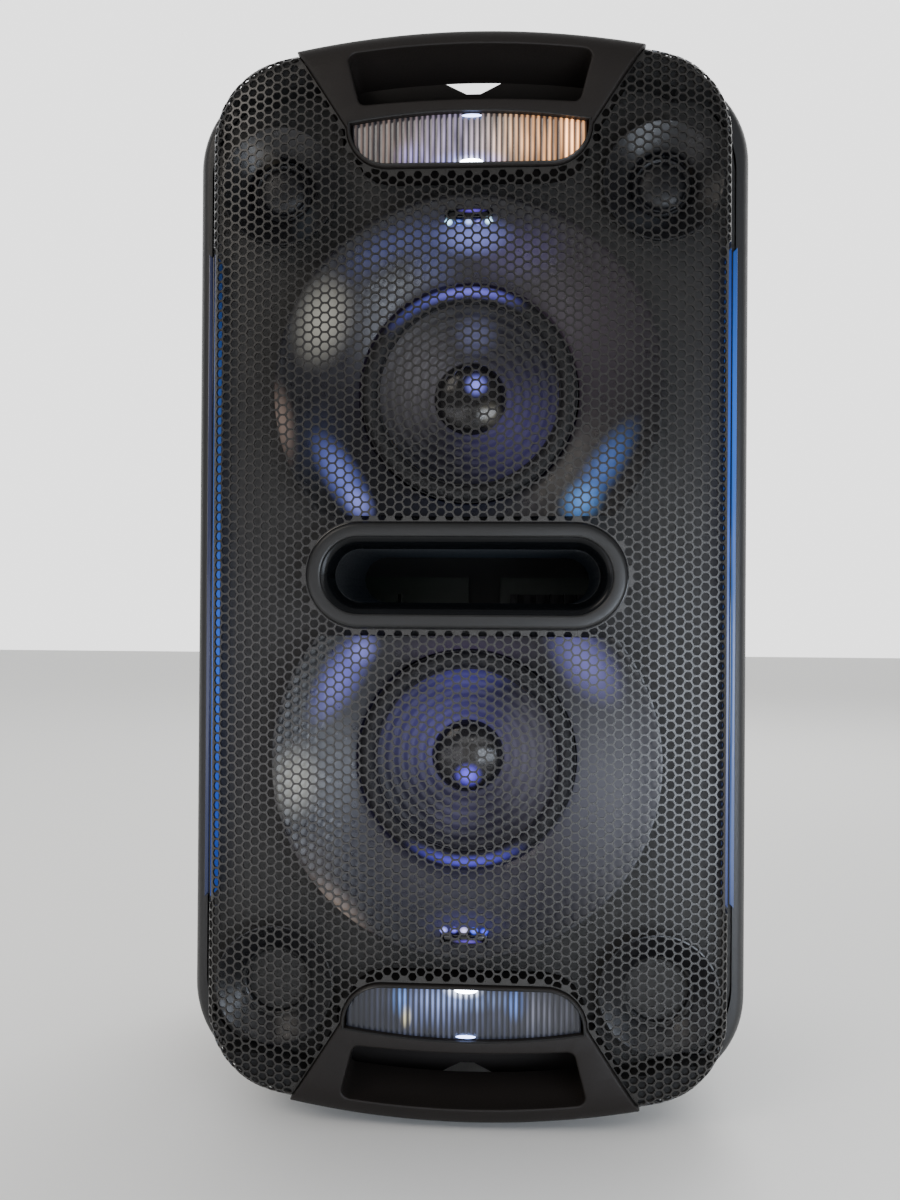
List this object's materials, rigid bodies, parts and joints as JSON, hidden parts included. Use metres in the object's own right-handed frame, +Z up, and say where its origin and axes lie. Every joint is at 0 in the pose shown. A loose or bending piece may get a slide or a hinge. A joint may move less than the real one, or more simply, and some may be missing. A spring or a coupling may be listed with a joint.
{
  "type": "party speaker",
  "caption": "Tall powered party speaker with a perforated front, bass port, strobe lights and a carrying handle at each end.",
  "frame": {"origin": "middle of the footprint of the whole part, on the surface it stands on", "axes": "+Z up, front faces -Y, +X to the right seen from the front"},
  "size_m": [0.31, 0.29, 0.598],
  "materials": {
    "moulded_pod": "fine moulded texture",
    "cabinet_plastic": "fine moulded texture",
    "gloss_black": "polished",
    "grille_steel": "perforated, satin black paint",
    "lens_clear": "clear, ribbed inside",
    "light_blue": "lit blue light guide",
    "light_violet": "lit violet light guide",
    "cone_paper": "coated paper with ribs",
    "rubber": "matt",
    "steel": "plain",
    "ferrite": "sintered",
    "copper_wire": "enamelled winding",
    "heat_sink_aluminium": "extruded, black anodised",
    "dome_silk": "coated",
    "spider_cloth": "resin treated",
    "circuit_board": "solder mask"
  },
  "bodies": {
    "enclosure": {"amplifier_board": "circuit_board", "bottom_handle": "moulded_pod", "bottom_handle_well": "cabinet_plastic", "bottom_strobe_board": "circuit_board", "bottom_strobe_lens": "lens_clear", "control_board": "circuit_board", "control_panel": "moulded_pod", "front_baffle": "cabinet_plastic", "front_grille": "grille_steel", "heat_sink": "heat_sink_aluminium", "left_foot": "rubber", "left_light_bar": "light_blue", "left_side_frame": "cabinet_plastic", "left_tweeter_guide": "gloss_black", "left_tweeter_motor": "ferrite", "lower_woofer_basket": "steel", "lower_woofer_bowl": "gloss_black", "lower_woofer_light": "light_violet", "lower_woofer_magnet": "ferrite", "lower_woofer_spider": "spider_cloth", "mains_inlet": "cabinet_plastic", "media_socket": "steel", "mic_socket": "cabinet_plastic", "port_duct": "cabinet_plastic", "port_ring": "gloss_black", "power_supply_board": "circuit_board", "rear_cabinet": "cabinet_plastic", "right_foot": "rubber", "right_light_bar": "light_blue", "right_side_frame": "cabinet_plastic", "right_tweeter_guide": "gloss_black", "right_tweeter_motor": "ferrite", "socket_panel": "cabinet_plastic", "top_handle": "moulded_pod", "top_handle_well": "cabinet_plastic", "top_strobe_board": "circuit_board", "top_strobe_lens": "lens_clear", "upper_woofer_basket": "steel", "upper_woofer_bowl": "gloss_black", "upper_woofer_light": "light_violet", "upper_woofer_magnet": "ferrite", "upper_woofer_spider": "spider_cloth"},
    "upper_woofer_diaphragm": {"upper_woofer_cone": "cone_paper", "upper_woofer_surround": "rubber", "upper_woofer_dust_cap": "gloss_black", "upper_woofer_voice_coil": "copper_wire"},
    "lower_woofer_diaphragm": {"lower_woofer_cone": "cone_paper", "lower_woofer_surround": "rubber", "lower_woofer_dust_cap": "gloss_black", "lower_woofer_voice_coil": "copper_wire"},
    "left_tweeter_diaphragm": {"left_tweeter_dome": "dome_silk"},
    "right_tweeter_diaphragm": {"right_tweeter_dome": "dome_silk"},
    "power_key": {"power_button": "rubber"},
    "light_key": {"light_button": "rubber"},
    "volume_down_key": {"volume_down_button": "rubber"},
    "volume_up_key": {"volume_up_button": "rubber"},
    "source_key": {"source_button": "rubber"},
    "pairing_key": {"pairing_button": "rubber"},
    "mic_level_dial": {"mic_level_knob": "rubber"}
  },
  "joints": [
    {"name": "upper_woofer_stroke", "type": "slide", "parent": "enclosure", "child": "upper_woofer_diaphragm", "axis": [0, -1, 0], "range_m": [-0.003, 0.003], "stiffness_N_per_m": 2000},
    {"name": "lower_woofer_stroke", "type": "slide", "parent": "enclosure", "child": "lower_woofer_diaphragm", "axis": [0, -1, 0], "range_m": [-0.003, 0.003], "stiffness_N_per_m": 2000},
    {"name": "left_tweeter_stroke", "type": "slide", "parent": "enclosure", "child": "left_tweeter_diaphragm", "axis": [0, -1, 0], "range_m": [-0.0003, 0.0003], "stiffness_N_per_m": 1500},
    {"name": "right_tweeter_stroke", "type": "slide", "parent": "enclosure", "child": "right_tweeter_diaphragm", "axis": [0, -1, 0], "range_m": [-0.0003, 0.0003], "stiffness_N_per_m": 1500},
    {"name": "power_press", "type": "slide", "parent": "enclosure", "child": "power_key", "axis": [0, 0, -1], "range_m": [0, 0.001], "stiffness_N_per_m": 400},
    {"name": "light_press", "type": "slide", "parent": "enclosure", "child": "light_key", "axis": [0, 0, -1], "range_m": [0, 0.001], "stiffness_N_per_m": 400},
    {"name": "volume_down_press", "type": "slide", "parent": "enclosure", "child": "volume_down_key", "axis": [0, 0, -1], "range_m": [0, 0.001], "stiffness_N_per_m": 400},
    {"name": "volume_up_press", "type": "slide", "parent": "enclosure", "child": "volume_up_key", "axis": [0, 0, -1], "range_m": [0, 0.001], "stiffness_N_per_m": 400},
    {"name": "source_press", "type": "slide", "parent": "enclosure", "child": "source_key", "axis": [0, 0, -1], "range_m": [0, 0.001], "stiffness_N_per_m": 400},
    {"name": "pairing_press", "type": "slide", "parent": "enclosure", "child": "pairing_key", "axis": [0, 0, -1], "range_m": [0, 0.001], "stiffness_N_per_m": 400},
    {"name": "mic_level_turn", "type": "hinge", "parent": "enclosure", "child": "mic_level_dial", "pos_m": [0.022, 0.131, 0.176], "axis": [0, 1, 0], "range_deg": [-150, 150]}
  ]
}
